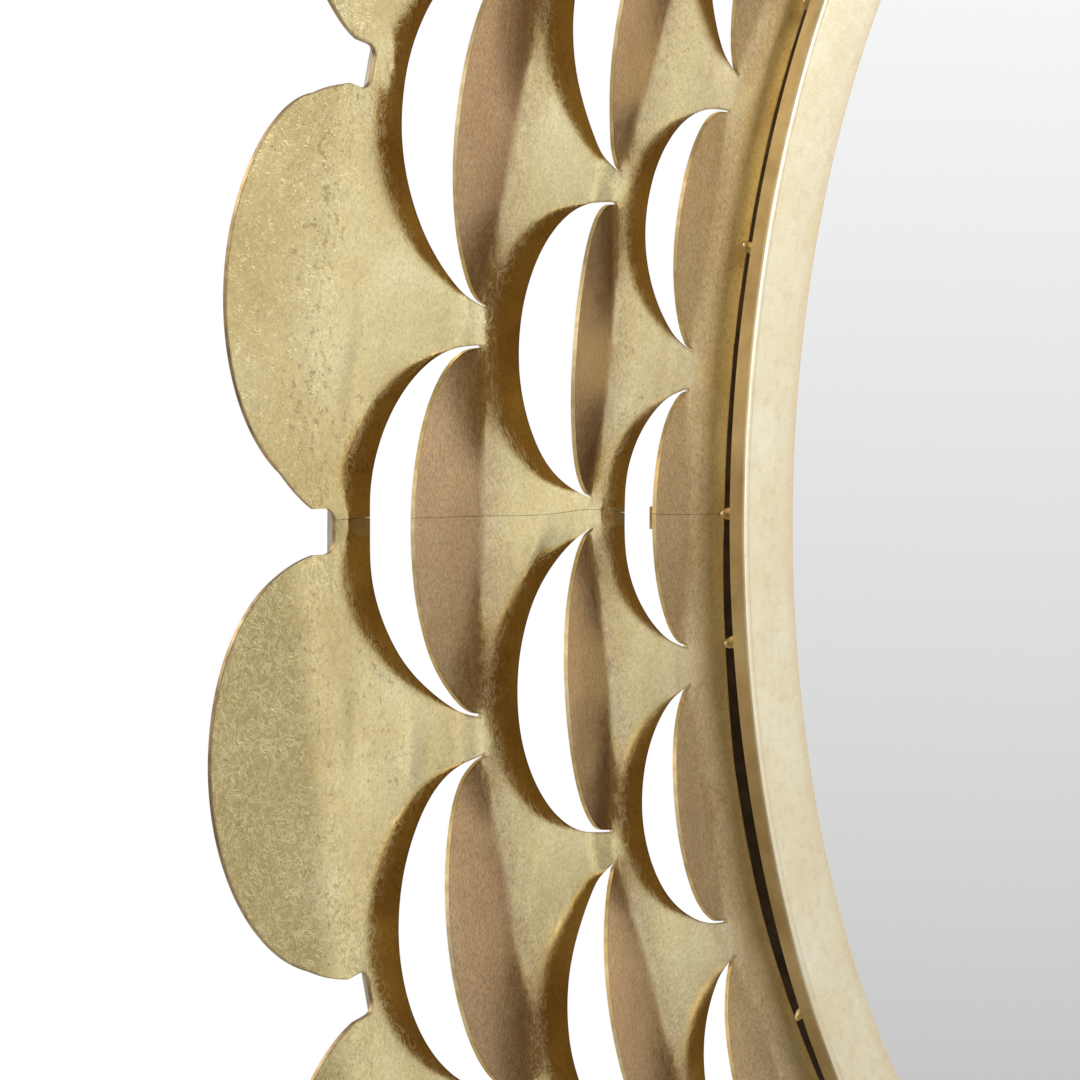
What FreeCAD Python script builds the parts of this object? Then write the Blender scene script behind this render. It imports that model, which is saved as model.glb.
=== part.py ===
import FreeCAD, Part
import math
import os

# Round wall mirror with a frame of pressed sheet scales.
# Millimetres. +Z is up, the front faces -Y, and the wall is the plane Y = 0.
# The origin is the centre of the mirror on the wall plane.
# Pieces are drawn on a radial axis along +X and turned about Y into place,
# anticlockwise as seen from the front. Radii are added up from the glass outwards.

# Counts
scales_per_row = 24
panel_count = 4
clip_count = 8

# Rim: a ring of angle section, flange to the front and leg to the wall
frame_depth = 26.0
rim_opening_r = 244.0
rim_rebate_w = 9.0
rim_flange_t = 5.0
rim_leg_t = 3.0
rim_slot_w = 6.0
rim_overhang = 3.3
rim_outer_round = 1.7
rim_inner_round = 0.8

# Sheet of the scale panels, which starts beyond the slot behind the rim's flange
sheet_t = 1.0
sheet_setback = 9.2
seam_gap = 0.3
fold_round = 6.0
slit_w = 1.0
slit_end_w = 0.6

# Rows of scales, from the inside outwards. Each scale is cut free by a curved slit and folded to the front.
# A row's slit ends lie on its neck radius, neck_w apart across the neck of the next row,
# and its bridge is the sheet left between the middle of the slit and the next row's neck.
inner_band_w = 17.4
inner_neck_w = 9.4
inner_bridge_w = 13.4
inner_fold_deg = 18.2

third_row_step = 38.4
third_neck_w = 7.1
third_bridge_w = 16.0
third_fold_deg = 22.0

second_row_step = 46.6
second_neck_w = 9.1
second_bridge_w = 12.6
second_fold_deg = 17.0

# Outermost row: the free scale beyond its fold, and the notches between scales
outer_row_step = 59.4
outer_scale_len = 36.5
outer_fold_deg = -8.5
outer_fold_round = 60.0
notch_w = 10.5
notch_depth = 7.4
notch_corner_r = 3.0

# Edge hoop and welds
hoop_inset = 3.9
hoop_rod_r = 2.0
hoop_weld_len = 6.0
hoop_weld_w = 5.0
hoop_weld_h = 1.5
tack_len = 6.0
tack_h = 1.6

# Straps behind the panel seams
strap_w = 5.5
strap_t = 1.0
strap_end_inset = 0.6

# Glazing
tape_t = 1.0
tape_w = 5.5
glass_t = 4.0
board_t = 6.0
glazing_clearance = 0.5

# Board clips and their screws
clip_w = 14.0
clip_t = 1.2
clip_foot_len = 17.0
clip_rise = 7.0
clip_screw_inset = 11.0
screw_shank_r = 1.5
screw_head_r = 3.0
screw_head_h = 1.8
screw_slot_w = 0.8
screw_slot_depth = 0.8
screw_bite = 4.5

# Hangers
hanger_side_inset = 103.0
hanger_top_inset = 113.0
hanger_w = 18.0
hanger_len = 52.0
hanger_t = 1.2
hanger_loop_w = 12.0
hanger_end_margin = 9.0
ring_wire_r = 1.25
ring_half_w = 11.0
ring_corner_r = 3.0
ring_side_len = 6.0
ring_clearance = 0.08
ring_standoff = 0.4
ring_screw_gap = 1.75

# Bumpers
bumper_r = 8.0
bumper_round = 1.5
bumper_rim_gap = 30.0
bumper_angles_deg = (60.0, 120.0, 240.0, 300.0)

# Worked-out angles
pitch_deg = 360.0 / scales_per_row
half_pitch = math.radians(pitch_deg / 2)
panel_deg = 360.0 / panel_count
clip_first_deg = 180.0 / clip_count

# Worked-out depths, from the front of the rim to the wall
rim_front_y = -frame_depth
flange_back_y = rim_front_y + rim_flange_t
glass_front_y = flange_back_y + tape_t
board_front_y = glass_front_y + glass_t
board_back_y = board_front_y + board_t
sheet_front_y = rim_front_y + sheet_setback
sheet_back_y = sheet_front_y + sheet_t
screw_end_y = board_back_y - screw_bite
ring_y = board_back_y + hanger_t + ring_standoff + ring_wire_r

# Worked-out radii, from the glass outwards
rim_leg_inner_r = rim_opening_r + rim_rebate_w
rim_leg_r = rim_leg_inner_r + rim_leg_t
sheet_inner_r = rim_leg_r + rim_slot_w
rim_flange_r = sheet_inner_r + rim_overhang
inner_neck_r = sheet_inner_r + inner_band_w
third_neck_r = inner_neck_r + third_row_step
second_neck_r = third_neck_r + second_row_step
outer_fold_r = second_neck_r + outer_row_step
notch_bottom_r = outer_fold_r - notch_depth
hoop_r = notch_bottom_r - hoop_inset
glazing_r = rim_leg_inner_r - glazing_clearance
clip_screw_r = rim_leg_inner_r - clip_screw_inset
bumper_place_r = rim_leg_inner_r - bumper_rim_gap - bumper_r

# Worked-out places of the hangers: the first screw clears the hanging ring, the second is near the end
hanger_x = rim_leg_inner_r - hanger_side_inset
hanger_z = rim_leg_inner_r - hanger_top_inset
ring_drop = ring_corner_r + ring_side_len + ring_half_w + ring_wire_r
hanger_screw_drops = (ring_drop + ring_screw_gap + screw_head_r, hanger_len - hanger_end_margin)
hanger_sides = {"left": -hanger_x, "right": hanger_x}

FRONT_AXIS = FreeCAD.Vector(0, -1, 0)
ORIGIN = FreeCAD.Vector(0, 0, 0)


def point(x, y, z):
    return FreeCAD.Vector(x, y, z)


def turned(shape, degrees):
    copy = shape.copy()
    copy.rotate(ORIGIN, FRONT_AXIS, degrees)
    return copy


def moved(shape, x, z):
    copy = shape.copy()
    copy.translate(point(x, 0, z))
    return copy


def around(shape, count, first_deg):
    step = 360.0 / count
    return [turned(shape, first_deg + step * i) for i in range(count)]


def plan_prism(edges, y_from, y_to):
    """Solid between two depths over a closed plan outline drawn at depth zero."""
    solid = Part.Face(Part.Wire(edges)).extrude(point(0, y_to - y_from, 0))
    solid.translate(point(0, y_from, 0))
    return solid


def polygon(points):
    closed = points + points[:1]
    return [Part.makeLine(a, b) for a, b in zip(closed, closed[1:])]


def box(x_from, x_to, y_from, y_to, z_from, z_to):
    size = (x_to - x_from, y_to - y_from, z_to - z_from)
    return Part.makeBox(*size, point(x_from, y_from, z_from))


def disc(radius, y_from, y_to, x=0.0, z=0.0):
    return Part.makeCylinder(radius, y_to - y_from, point(x, y_from, z), point(0, 1, 0))


def x_rod(radius, length, x, y, z):
    return Part.makeCylinder(radius, length, point(x, y, z), point(1, 0, 0))


def revolved(profile, degrees=360.0):
    """Ring or ring sector from (radius, depth) corners, centred on the +X axis if it is a sector."""
    face = Part.Face(Part.Wire(polygon([point(r, y, 0) for r, y in profile])))
    solid = face.revolve(ORIGIN, FRONT_AXIS, degrees)
    return turned(solid, -degrees / 2) if degrees < 360.0 else solid


def sector_deg(length, radius):
    return math.degrees(length / radius)


def scale_edges(fold_x, half_w, reach):
    """Rounded scale outline in plan: an arc from fold end to fold end, closed along the fold."""
    low = point(fold_x, 0, -half_w)
    high = point(fold_x, 0, half_w)
    tip = point(fold_x + reach, 0, 0)
    return [Part.Arc(low, tip, high).toShape(), Part.makeLine(high, low)]


def folded_strip(start_x, fold_x, run, fold_deg, bend_r, y_front, thickness, half_w):
    """Strip along +X that turns to the front at fold_x, or to the back if fold_deg is negative.
    The fold is rounded about an axis that the sheet and anything lying on its back share."""
    angle = math.radians(fold_deg)
    axis_y = sheet_front_y - bend_r if fold_deg > 0 else sheet_back_y + bend_r
    middle_share = 0.5

    def on_fold(y_start, share):
        turn = abs(angle) * share
        radius = abs(y_start - axis_y)
        return point(fold_x + radius * math.sin(turn), axis_y + (y_start - axis_y) * math.cos(turn), 0)

    def far_end(y_start):
        return on_fold(y_start, 1.0) + point(run * math.cos(angle), -run * math.sin(angle), 0)

    y_back = y_front + thickness
    edges = []
    for y in (y_front, y_back):
        edges.append(Part.Arc(point(fold_x, y, 0), on_fold(y, middle_share), on_fold(y, 1.0)).toShape())
        edges.append(Part.makeLine(on_fold(y, 1.0), far_end(y)))
        if start_x < fold_x:
            edges.append(Part.makeLine(point(start_x, y, 0), point(fold_x, y, 0)))
    edges.append(Part.makeLine(point(start_x, y_front, 0), point(start_x, y_back, 0)))
    edges.append(Part.makeLine(far_end(y_front), far_end(y_back)))
    wire = Part.Wire(Part.__sortEdges__(edges))
    strip = Part.Face(wire).extrude(point(0, 0, 2 * half_w))
    strip.translate(point(0, 0, -half_w))
    return strip


class FoldLine:
    """Chord on which a row's scales fold: its place on the radial axis and half its length."""

    def __init__(self, radius, gap_w):
        turn = half_pitch - math.asin(gap_w / 2 / radius)
        self.x = radius * math.cos(turn)
        self.half_w = radius * math.sin(turn)


class Row:
    """One inner row of scales: its fold line, the slit that frees it and its folded scale."""

    def __init__(self, neck_r, neck_w, slit_tip_r, fold_deg, first_deg):
        turn = math.radians(fold_deg)
        self.fold = FoldLine(neck_r, neck_w)
        self.slit_tip_x = slit_tip_r
        self.scale_len = slit_tip_r - slit_w - self.fold.x
        straight_len = self.scale_len - fold_round * turn
        self.plan_len = fold_round * math.sin(turn) + straight_len * math.cos(turn)
        self.tip_x = self.fold.x + self.plan_len
        self.fold_deg = fold_deg
        self.first_deg = first_deg

    def angles(self):
        """Scale angles that touch the first panel."""
        count = round((panel_deg - 2 * self.first_deg) / pitch_deg) + 1
        return [self.first_deg + pitch_deg * i for i in range(count)]

    def hole(self):
        edges = scale_edges(self.fold.x, self.fold.half_w, self.slit_tip_x - self.fold.x)
        return plan_prism(edges, rim_front_y, 0)

    def scale(self):
        half_w = self.fold.half_w - slit_end_w
        strip = folded_strip(
            self.fold.x, self.fold.x, self.scale_len, self.fold_deg, fold_round,
            sheet_front_y, sheet_t, half_w,
        )
        outline = scale_edges(self.fold.x, half_w, self.plan_len)
        return strip.common(plan_prism(outline, 2 * rim_front_y, 0))


# Rows alternate by half a pitch: the outermost and third have scales between the panel seams,
# the second and innermost have a scale on each seam.
inner_row = Row(inner_neck_r, inner_neck_w, third_neck_r - inner_bridge_w, inner_fold_deg, 0.0)
third_row = Row(
    third_neck_r, third_neck_w, second_neck_r - third_bridge_w, third_fold_deg, pitch_deg / 2
)
second_row = Row(second_neck_r, second_neck_w, notch_bottom_r - second_bridge_w, second_fold_deg, 0.0)
inner_rows = (inner_row, third_row, second_row)

# Outermost row
outer_fold = FoldLine(outer_fold_r, notch_w)
outer_r = outer_fold.x + outer_scale_len
outer_angles = [pitch_deg / 2 + pitch_deg * i for i in range(round(panel_deg / pitch_deg))]


def outer_scale():
    """Scale of the outermost row: half an ellipse beyond its fold, which leaves its sides radial."""
    strip = folded_strip(
        outer_fold.x, outer_fold.x, 2 * outer_scale_len, outer_fold_deg, outer_fold_round,
        sheet_front_y, sheet_t, outer_fold.half_w,
    )
    middle = point(outer_fold.x, 0, 0)
    low = point(outer_fold.x, 0, -outer_fold.half_w)
    high = point(outer_fold.x, 0, outer_fold.half_w)
    ellipse = Part.Ellipse(high, point(outer_r, 0, 0), middle)
    outline = [Part.ArcOfEllipse(ellipse, 0, math.pi).toShape(), Part.makeLine(low, high)]
    return strip.common(plan_prism(outline, 2 * rim_front_y, 0))


def flat_plate():
    """Flat part of one panel, before its seams are trimmed: fold lines outside, rim slot inside."""
    seam_end = Part.Vertex(point(outer_fold_r, 0, 0))
    corners = [ORIGIN, seam_end.Point]
    for angle in outer_angles:
        for side in (-outer_fold.half_w, outer_fold.half_w):
            corner = Part.Vertex(point(outer_fold.x, 0, side))
            corners.append(turned(corner, angle).Point)
    corners.append(turned(seam_end, panel_deg).Point)
    plate = plan_prism(polygon(corners), sheet_front_y, sheet_back_y)
    corner_x = notch_bottom_r + notch_corner_r
    corner_z = notch_w / 2 - notch_corner_r
    notch = box(corner_x, outer_r, rim_front_y, 0, -notch_w / 2, notch_w / 2).fuse([
        box(notch_bottom_r, outer_r, rim_front_y, 0, -corner_z, corner_z),
        disc(notch_corner_r, rim_front_y, 0, corner_x, -corner_z),
        disc(notch_corner_r, rim_front_y, 0, corner_x, corner_z),
    ])
    tools = [disc(sheet_inner_r, rim_front_y, 0)]
    tools += [turned(notch, pitch_deg * i) for i in range(len(outer_angles) + 1)]
    for row in inner_rows:
        tools += [turned(row.hole(), angle) for angle in row.angles()]
    return plate.cut(tools)


def scale_panel():
    """First panel, between the seams at three and twelve o'clock."""
    seam = seam_gap / 2
    quarter = box(seam, 2 * outer_r, 2 * rim_front_y, 0, seam, 2 * outer_r)
    scales = [turned(outer_scale(), angle) for angle in outer_angles]
    for row in inner_rows:
        scales += [turned(row.scale(), angle) for angle in row.angles()]
    whole = flat_plate().fuse(scales)
    panel = whole.common(quarter).removeSplitter()
    return panel.Solids[0]


def seam_straps():
    """Three straps behind the seam on the +X axis: two follow a scale on the seam, one ends at the hoop."""
    straps = []
    for row, sheet_start_x in ((second_row, inner_row.slit_tip_x), (inner_row, sheet_inner_r)):
        start_x = sheet_start_x + strap_end_inset
        strip = folded_strip(
            start_x, row.fold.x, row.scale_len, row.fold_deg, fold_round,
            sheet_back_y, strap_t, strap_w / 2,
        )
        keep = box(
            start_x, row.tip_x - strap_end_inset, 2 * rim_front_y, 0, -strap_w / 2, strap_w / 2
        )
        straps.append(strip.common(keep))
    straps.append(
        box(
            second_row.slit_tip_x + strap_end_inset, hoop_r - hoop_rod_r - strap_end_inset,
            sheet_back_y, sheet_back_y + strap_t,
            -strap_w / 2, strap_w / 2,
        )
    )
    return straps


def edge_hoop():
    return Part.makeTorus(hoop_r, hoop_rod_r, point(0, sheet_back_y + hoop_rod_r, 0), point(0, 1, 0))


def hoop_welds():
    """Fillets on both sides of the hoop at every neck between two outermost scales."""
    low = hoop_r - hoop_weld_w / 2
    high = hoop_r + hoop_weld_w / 2
    back_y = sheet_back_y + hoop_weld_h
    block = revolved(
        [(low, sheet_back_y), (high, sheet_back_y), (hoop_r, back_y)], sector_deg(hoop_weld_len, hoop_r)
    )
    fillets = block.cut(edge_hoop())
    return [s for weld in around(fillets, scales_per_row, 0.0) for s in weld.Solids]


def tack_welds():
    """Bridges from the rim's leg to the sheet's inner edge, between the innermost scales."""
    middle_y = sheet_front_y + sheet_t / 2
    tack = revolved(
        [
            (rim_leg_r, middle_y - tack_h / 2),
            (sheet_inner_r, middle_y - tack_h / 2),
            (sheet_inner_r, middle_y + tack_h / 2),
            (rim_leg_r, middle_y + tack_h / 2),
        ],
        sector_deg(tack_len, rim_leg_r),
    )
    return around(tack, scales_per_row, pitch_deg / 2)


def rim():
    ring = revolved(
        [
            (rim_opening_r, rim_front_y),
            (rim_flange_r, rim_front_y),
            (rim_flange_r, flange_back_y),
            (rim_leg_r, flange_back_y),
            (rim_leg_r, 0),
            (rim_leg_inner_r, 0),
            (rim_leg_inner_r, flange_back_y),
            (rim_opening_r, flange_back_y),
        ]
    )
    for radius, rounding in ((rim_flange_r, rim_outer_round), (rim_opening_r, rim_inner_round)):
        corner = [
            e for e in ring.Edges
            if hasattr(e.Curve, "Radius")
            and abs(e.Curve.Radius - radius) < rounding
            and abs(e.Curve.Center.y - rim_front_y) < rounding
        ]
        ring = ring.makeFillet(rounding, corner)
    return ring


def glazing_tape():
    return disc(glazing_r, flange_back_y, glass_front_y).cut(
        disc(glazing_r - tape_w, flange_back_y, glass_front_y)
    )


def screw(head_y):
    """Slotted screw driven into the board from the back, its axis on the Y axis."""
    head_top = head_y + screw_head_h
    solid = disc(screw_head_r, head_y, head_top).fuse(disc(screw_shank_r, screw_end_y, head_y))
    slot = box(
        -screw_head_r, screw_head_r, head_top - screw_slot_depth, head_top,
        -screw_slot_w / 2, screw_slot_w / 2,
    )
    return solid.cut(slot).removeSplitter()


def board_clip():
    """Bent clip: its upright lies against the rim's leg, its foot on the board."""
    foot_y = board_back_y + clip_t
    inner_r = rim_leg_inner_r - clip_t
    clip = revolved(
        [
            (rim_leg_inner_r, board_back_y),
            (rim_leg_inner_r, board_back_y + clip_rise),
            (inner_r, board_back_y + clip_rise),
            (inner_r, foot_y),
            (rim_leg_inner_r - clip_foot_len, foot_y),
            (rim_leg_inner_r - clip_foot_len, board_back_y),
        ],
        sector_deg(clip_w, rim_leg_inner_r),
    )
    return clip.cut(disc(screw_shank_r, board_back_y, foot_y, clip_screw_r))


def clip_screws():
    one = moved(screw(board_back_y + clip_t), clip_screw_r, 0)
    return around(one, clip_count, clip_first_deg)


def hanger_screws():
    one = screw(board_back_y + hanger_t)
    return [moved(one, x, hanger_z - drop) for x in hanger_sides.values() for drop in hanger_screw_drops]


def backing_board():
    board = disc(glazing_r, board_front_y, board_back_y)
    pilot = disc(screw_shank_r, screw_end_y, board_back_y)
    holes = around(moved(pilot, clip_screw_r, 0), clip_count, clip_first_deg)
    for x in hanger_sides.values():
        holes += [moved(pilot, x, hanger_z - drop) for drop in hanger_screw_drops]
    return board.cut(holes)


def hanger_strap(x):
    """Strap with two screw holes, rolled into a loop at its top end."""
    back_y = board_back_y + hanger_t
    bore_r = ring_wire_r + ring_clearance
    left = x - hanger_w / 2
    right = x + hanger_w / 2
    loop = x_rod(bore_r + hanger_t, hanger_loop_w, x - hanger_loop_w / 2, ring_y, hanger_z)
    plate = box(left, right, board_back_y, back_y, hanger_z - hanger_len, hanger_z)
    bore = x_rod(bore_r, hanger_w, left, ring_y, hanger_z)
    holes = [disc(screw_shank_r, board_back_y, back_y, x, hanger_z - drop) for drop in hanger_screw_drops]
    inside_board = box(left, right, rim_front_y, board_back_y, hanger_z - hanger_len, hanger_z + hanger_len)
    return plate.fuse(loop).cut([bore, inside_board] + holes).removeSplitter()


def ring_bend(x, z, start_x, degrees):
    """Ring wire bent about an axis along Y, starting beside that axis and facing up."""
    circle = Part.makeCircle(ring_wire_r, point(start_x, ring_y, z), point(0, 0, 1))
    return Part.Face(Part.Wire(circle)).revolve(point(x, ring_y, z), FRONT_AXIS, degrees)


def d_ring(x):
    """Closed D-shaped ring of round wire, hanging down from its straight bar."""
    bar_half = ring_half_w - ring_corner_r
    corner_z = hanger_z - ring_corner_r
    bow_z = corner_z - ring_side_len
    pieces = [x_rod(ring_wire_r, 2 * bar_half, x - bar_half, ring_y, hanger_z)]
    for side, quarter_turn in ((-1.0, -90.0), (1.0, 90.0)):
        leg_x = x + side * ring_half_w
        pieces.append(ring_bend(x + side * bar_half, corner_z, leg_x, quarter_turn))
        pieces.append(
            Part.makeCylinder(ring_wire_r, ring_side_len, point(leg_x, ring_y, bow_z), point(0, 0, 1))
        )
    pieces.append(ring_bend(x, bow_z, x - ring_half_w, 180.0))
    return pieces[0].fuse(pieces[1:]).removeSplitter()


def wall_bumpers():
    bumper = disc(bumper_r, board_back_y, 0)
    top = [e for e in bumper.Edges if hasattr(e.Curve, "Radius") and e.CenterOfMass.y > board_back_y / 2]
    bumper = moved(bumper.makeFillet(bumper_round, top), bumper_place_r, 0)
    return [turned(bumper, angle) for angle in bumper_angles_deg]


def build():
    nodes = {}
    panel = scale_panel()
    for i, place in enumerate(("upper_right", "upper_left", "lower_left", "lower_right")):
        nodes["scale_panel_" + place] = [turned(panel, panel_deg * i)]
    straps = seam_straps()
    for i, place in enumerate(("right", "top", "left", "bottom")):
        nodes["seam_straps_" + place] = [turned(s, panel_deg * i) for s in straps]
    nodes["edge_hoop"] = [edge_hoop()]
    nodes["hoop_welds"] = hoop_welds()
    nodes["rim_tack_welds"] = tack_welds()
    nodes["rim"] = [rim()]
    nodes["glazing_tape"] = [glazing_tape()]
    nodes["mirror_glass"] = [disc(glazing_r, glass_front_y, board_front_y)]
    nodes["backing_board"] = [backing_board()]
    for i, clip in enumerate(around(board_clip(), clip_count, clip_first_deg)):
        nodes["board_clip_" + str(i + 1)] = [clip]
    nodes["clip_screws"] = clip_screws()
    for side, x in hanger_sides.items():
        nodes["hanger_strap_" + side] = [hanger_strap(x)]
        nodes["d_ring_" + side] = [d_ring(x)]
    nodes["hanger_screws"] = hanger_screws()
    nodes["wall_bumpers"] = wall_bumpers()
    return nodes


os.makedirs("parts", exist_ok=True)
for name, solids in build().items():
    shape = solids[0] if len(solids) == 1 else Part.makeCompound(solids)
    valid = all(s.isValid() for s in solids)
    print(name, len(shape.Solids), "solids", len(shape.Faces), "faces", "valid" if valid else "INVALID")
    shape.exportStep("parts/" + name + ".step")
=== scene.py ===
import math
import random

import bmesh
import bpy
import numpy as np
from mathutils import Matrix, Vector, kdtree, noise
from mathutils.geometry import delaunay_2d_cdt


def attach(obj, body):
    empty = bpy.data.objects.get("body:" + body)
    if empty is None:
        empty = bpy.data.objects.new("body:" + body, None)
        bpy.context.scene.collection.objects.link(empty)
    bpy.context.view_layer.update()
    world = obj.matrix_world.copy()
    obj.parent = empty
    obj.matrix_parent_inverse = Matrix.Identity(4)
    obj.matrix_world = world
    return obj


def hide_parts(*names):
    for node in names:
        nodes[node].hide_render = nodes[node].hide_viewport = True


# Round wall mirror in a frame of folded sheet scales. Metres, in the frame of the CAD model:
# +Z up, the glass faces -Y, the origin is the centre of the mirror on the wall plane.
# Pieces are drawn on a radial axis along +X and turned anticlockwise, as seen from the front.

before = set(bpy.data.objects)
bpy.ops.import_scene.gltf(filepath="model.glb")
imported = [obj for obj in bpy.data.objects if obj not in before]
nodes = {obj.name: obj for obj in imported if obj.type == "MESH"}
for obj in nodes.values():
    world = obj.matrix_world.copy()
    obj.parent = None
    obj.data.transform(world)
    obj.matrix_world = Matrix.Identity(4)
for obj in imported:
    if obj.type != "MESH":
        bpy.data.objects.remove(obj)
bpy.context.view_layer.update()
scene = bpy.context.scene
scene.view_settings.view_transform = "Standard"

# Counts
scales_per_row = 24
panel_count = 4
tack_count = 24

# Sheet of the scale panels. The seams lean sideways by a share of the way outwards, and the sheet's edges
# keep the tone of the leaf within a small angle of a seam, in radians
sheet_front_y = -0.0168
sheet_t = 0.0010
sheet_inner_r = 0.2620
seam_gap = 0.0001
seam_lean_share = 0.016
seam_clear_angle = 0.024
slit_w = 0.0010
slit_end_w = 0.0006

# Reach of the sag beyond a slit, the way over which it starts, and the way from a seam that its strap holds
sag_reach = 0.025
sag_start = 0.008
strap_hold = 0.009

# Inner rows from the inside outwards: neck radius, neck width, radius of the slit's middle, fold in degrees,
# roundness of the fold, bulge of the fold line towards the centre, sag of the sheet to the back
inner_neck_r = 0.2794
inner_neck_w = 0.0094
inner_slit_r = 0.3044
inner_fold_deg = 16.95
inner_fold_round = 0.008
inner_fold_bulge = 0.002
inner_sag = 0.0008
third_neck_r = 0.3178
third_neck_w = 0.0071
third_slit_r = 0.3484
third_fold_deg = 19.6
third_fold_round = 0.009
third_fold_bulge = 0.004
third_sag = 0.0014
second_neck_r = 0.3644
second_neck_w = 0.0091
second_slit_r = 0.4038
second_fold_deg = 16.25
second_fold_round = 0.014
second_fold_bulge = 0.003
second_sag = 0.0009

# Outermost row of free scales, which curve to the back, and the notches between them
outer_fold_r = 0.4238
outer_scale_len = 0.0365
outer_fold_deg = -8.5
outer_round = 0.060
notch_w = 0.0105
notch_depth = 0.0074
notch_corner_r = 0.0030

# Rim, an angle section with a flange to the front and a leg to the wall
rim_opening_r = 0.2440
rim_leg_inner_r = 0.2530
rim_leg_r = 0.2560
rim_flange_r = 0.2653
rim_front_y = -0.0260
rim_flange_t = 0.0050
rim_outer_round = 0.0017
rim_inner_round = 0.0008
rim_gilt_w = 0.0045

# Welds between rim and sheet, and by how many degrees single ones lie beside their place
weld_r = 0.2593
weld_reach = 0.0040
weld_half_w = 0.0016
weld_h = 0.0009
weld_shifts_deg = {195.0: -7.8}

# Glass and hoop
glass_r = 0.2525
glass_front_y = -0.0200
glass_back_y = -0.0160
hoop_r = 0.4125
hoop_rod_r = 0.0020

# Fineness of the meshes
ring_segments = 720
corner_points = 9
notch_corner_points = 7
hoop_sides = 16
bead_sides = 16
bead_rings = 10
floor_sides = 96
sharp_deg = 35
arc_step = 0.0013
grid_step = 0.0027
grid_jitter_share = 0.22
grid_clear_share = 0.62
grid_rows_below = 2
grid_seed = 7
merge_reach = 1e-7
edge_play_share = 0.25

# Unevenness of the hand-worked sheet
wave_len = 0.045
wave_height = 0.00028
dent_len = 0.013
dent_height = 0.00007
fold_spread_deg = 1.1
outer_spread_deg = 1.8

# Folds of single scales: row, degrees around, change in degrees. The others vary within the spread
fold_changes = {
    ("outer", 172.5): 3.3, ("outer", 187.5): -1.0,
    ("second", 165.0): 1.5, ("second", 180.0): -1.0, ("second", 195.0): 0.7,
    ("third", 157.5): 0.0, ("third", 172.5): 3.2, ("third", 187.5): 0.0, ("third", 202.5): -0.4,
    ("inner", 165.0): 0.8, ("inner", 180.0): 0.3, ("inner", 195.0): 2.4,
}

# Scales of another size: row, degrees around and share of the usual reach. For the outermost the degrees, and
# the shares of the reach, of the width of the clockwise half and of the width of the anticlockwise half
reach_shares = {("second", 165.0): 0.92, ("second", 195.0): 0.975, ("third", 187.5): 0.975}
outer_shares = {172.5: (0.935, 0.930, 0.930), 187.5: (1.0, 0.985, 0.955)}
usual_outer_shares = (1.0, 1.0, 1.0)
outer_narrow_reach = 0.012

# Necks and notches beside their place: radius, degrees around, shift anticlockwise. The others vary
# within the spread
shifts = {
    (outer_fold_r, 165.0): 0.0036, (outer_fold_r, 195.0): -0.0010,
    (second_neck_r, 172.5): 0.0012, (second_neck_r, 187.5): 0.0031,
    (third_neck_r, 165.0): 0.0017, (third_neck_r, 180.0): -0.0014, (third_neck_r, 195.0): -0.0018,
    (inner_neck_r, 157.5): 0.0011, (inner_neck_r, 172.5): 0.0002,
    (inner_neck_r, 187.5): 0.0014, (inner_neck_r, 202.5): 0.0012,
}
shift_spread = 0.0010
shift_reach_around = 0.018
shift_reach_across = 0.014

# Sheet's inner edge moved outwards: degrees around and shift. It is zero before the first and past the last
edge_degs = (135.0, 150.0, 165.0, 180.0, 187.0, 194.0, 203.0, 210.0, 218.0)
edge_shifts = (0.0, -0.0008, -0.0010, -0.0003, 0.0006, 0.0023, 0.0023, 0.0012, 0.0)
edge_reach = 0.006

# Crumples in the sheet: place (x, z), degrees of the long axis, half length, half width, rise to the front
crumples = (
    (-0.4082, -0.0454, 90, 0.010, 0.0028, -0.0005),
    (-0.3879, -0.0512, 90, 0.008, 0.0028, 0.0005),
    (-0.3953, 0.1060, 100, 0.006, 0.0024, 0.0008),
    (-0.4125, 0.0010, 90, 0.006, 0.0032, 0.0008),
    (-0.3409, -0.0058, 60, 0.006, 0.0030, 0.0009),
    (-0.3155, -0.0010, 90, 0.005, 0.0020, 0.0005),
    (-0.4088, 0.0351, 80, 0.009, 0.0030, -0.0005),
)

# Painted brown shade on the folded scales, by their tilt, fading out over the level sheet before the folds:
# its reach there and its share at the fold line
tilt_shade_reach = 0.010
tilt_shade_share = 0.75

# Worn band along the crease of the outermost scales, and the way over which their gold turns warmer
crease_at = 0.005
crease_half_w = 0.005
outer_warm_reach = 0.012

# Relief of the two gold finishes
leaf_relief = 0.000018
rim_relief = 0.0004

# Camera, close to the left of the mirror and turned towards it
eye = Vector((-1.29723, -0.73950, 0.03829))
aim = Vector((-0.35111, -0.02600, -0.00411))
roll_deg = 0.322
image_size = 1080
focal_pixels = 5000
sensor_w = 36.0

# Floor, levels of the room and lamps: name, place, size, power in watts
floor_r = 1.6
floor_z = -0.95
diffuse_level = 0.65
wall_level = 0.45
front_level = 0.97
key_angle = math.radians(57)
side_angle = math.radians(100)
lamps = (
    ("key", (1.6, -1.5, 1.3), 1.2, 12.0),
    ("back_fill", (-0.8, 1.6, 1.2), 1.0, 8.0),
)

# Material slots of the panels and of the rim
front_slot, back_slot, edge_slot, outer_edge_slot = range(4)
rim_side_slot = 1
rim_leg_slot = 2

# Sockets of a mix node that hold colours
mix_color_a = 6
mix_color_b = 7
mix_color_out = 2

# Values that follow from the others
pitch = 2 * math.pi / scales_per_row
panel_angle = 2 * math.pi / panel_count
notch_bottom_r = outer_fold_r - notch_depth
flange_back_y = rim_front_y + rim_flange_t
edge_play = edge_play_share * slit_w


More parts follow.
